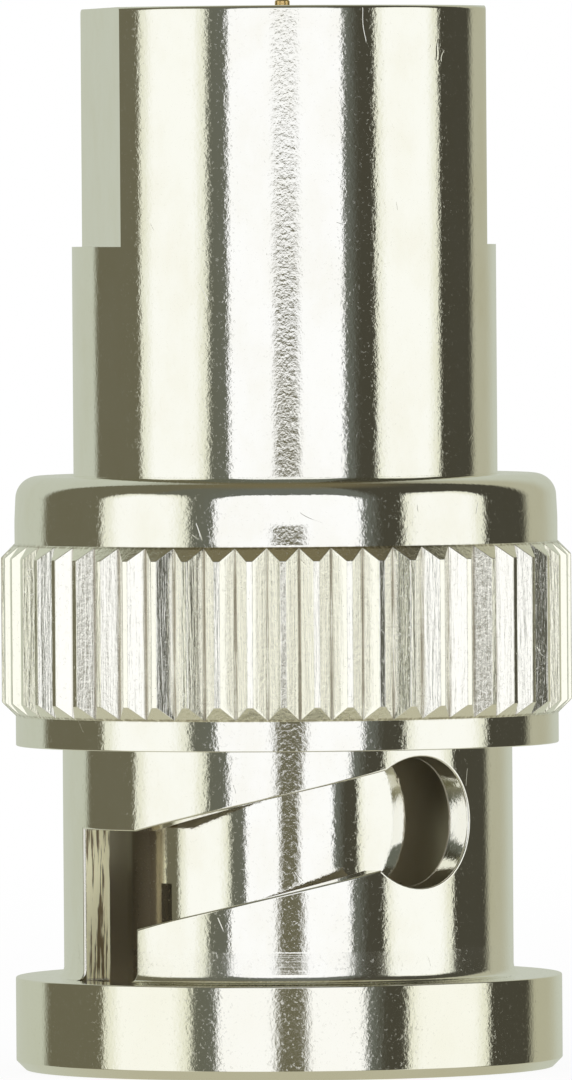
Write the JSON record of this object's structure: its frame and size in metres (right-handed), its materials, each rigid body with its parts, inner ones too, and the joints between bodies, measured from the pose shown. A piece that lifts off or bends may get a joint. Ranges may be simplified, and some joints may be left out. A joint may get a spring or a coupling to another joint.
{
  "type": "coaxial adapter",
  "caption": "Bayonet coaxial plug to threaded coaxial socket adapter: a knurled, slotted nut turns and springs on a round body with wrench flats.",
  "frame": {"origin": "centre of the coupling nut's front face, on which the adapter stands", "axes": "+Z along the axis from the bayonet plug to the threaded socket; the wrench flats face +X and -X"},
  "size_m": [0.0144, 0.0144, 0.0271],
  "materials": {
    "nickel_plate": "bright nickel plate over turned brass",
    "gold_plate": "thin gold plate over brass",
    "spring_metal": "plain spring strip",
    "insulator": "matt white insulator",
    "silicone": "matt silicone"
  },
  "bodies": {
    "adapter": {"adapter_body": "nickel_plate", "outer_contact": "nickel_plate", "wave_washer": "spring_metal", "face_gasket": "silicone", "front_insulator": "insulator", "plug_contact": "gold_plate", "rear_insulator": "insulator", "socket_bush": "nickel_plate", "socket_pin": "gold_plate"},
    "washer": {"thrust_washer": "spring_metal"},
    "nut": {"coupling_nut": "nickel_plate"}
  },
  "joints": [
    {"name": "nut_draw", "type": "slide", "parent": "adapter", "child": "washer", "axis": [0, 0, -1], "range_m": [0, 0.0005], "stiffness_N_per_m": 12000, "springref_m": -0.0002, "deforming": ["wave_washer"]},
    {"name": "nut_turn", "type": "hinge", "parent": "washer", "child": "nut", "pos_m": [0, 0, 0.0075], "axis": [0, 0, 1], "continuous": true}
  ]
}
